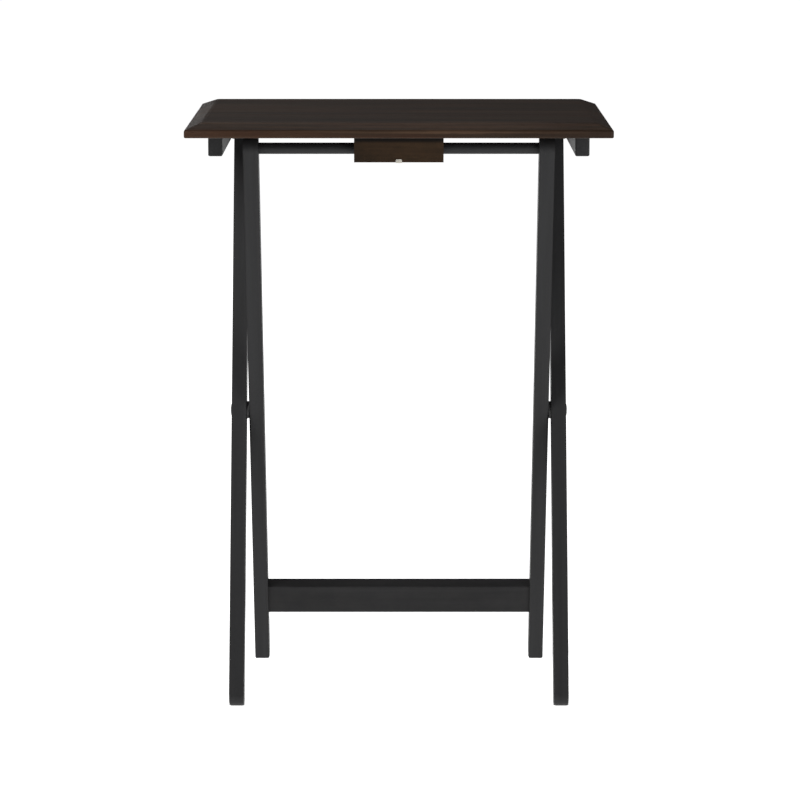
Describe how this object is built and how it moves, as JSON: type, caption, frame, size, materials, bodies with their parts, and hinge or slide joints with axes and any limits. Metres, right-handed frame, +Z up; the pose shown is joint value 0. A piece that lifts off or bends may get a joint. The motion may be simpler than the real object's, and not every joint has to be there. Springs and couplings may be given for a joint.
{
  "type": "folding tray table",
  "caption": "Folding tray table: a bevelled rectangular wooden top on crossed black legs that fold flat, with a front dowel held in a catch block.",
  "frame": {"origin": "on the floor under the middle of the tray", "axes": "+X across the table, -Y the front with the catch block, +Z up"},
  "size_m": [0.47, 0.37, 0.668],
  "materials": {
    "walnut": "satin lacquered dark walnut",
    "black_wood": "satin black paint on wood",
    "bare_wood": "bare beech",
    "screw_steel": "zinc plated",
    "clip_steel": "bright spring steel",
    "black_steel": "satin black",
    "brass": "plain",
    "nylon": "black nylon"
  },
  "bodies": {
    "outer_frame": {"outer_leg_left": "black_wood", "outer_leg_right": "black_wood", "rear_dowel": "black_wood", "rear_dowel_brads": "screw_steel", "hinge_washer_left": "nylon", "hinge_washer_right": "nylon"},
    "inner_frame": {"inner_leg_left": "black_wood", "inner_leg_right": "black_wood", "front_dowel": "black_wood", "front_dowel_brads": "screw_steel", "stretcher": "black_wood", "stretcher_pins": "bare_wood", "pivot_bolts": "black_steel", "pivot_inserts": "brass", "pivot_washers": "nylon"},
    "tray": {"tray_top": "walnut", "cleat_left": "black_wood", "cleat_right": "black_wood", "cleat_screws": "screw_steel", "catch_block": "walnut", "catch_block_screws": "screw_steel", "catch_clip": "clip_steel", "catch_clip_nail": "screw_steel"}
  },
  "joints": [
    {"name": "leg_fold", "type": "hinge", "parent": "outer_frame", "child": "inner_frame", "pos_m": [0, 0, 0.321], "axis": [-1, 0, 0], "range_deg": [0, 38]},
    {"name": "tray_tilt", "type": "hinge", "parent": "outer_frame", "child": "tray", "pos_m": [0, 0.12, 0.6353], "axis": [-1, 0, 0], "range_deg": [0, 19]}
  ],
  "couplings": [
    {"joint": "tray_tilt", "follows": "leg_fold", "ratio": 0.5}
  ]
}
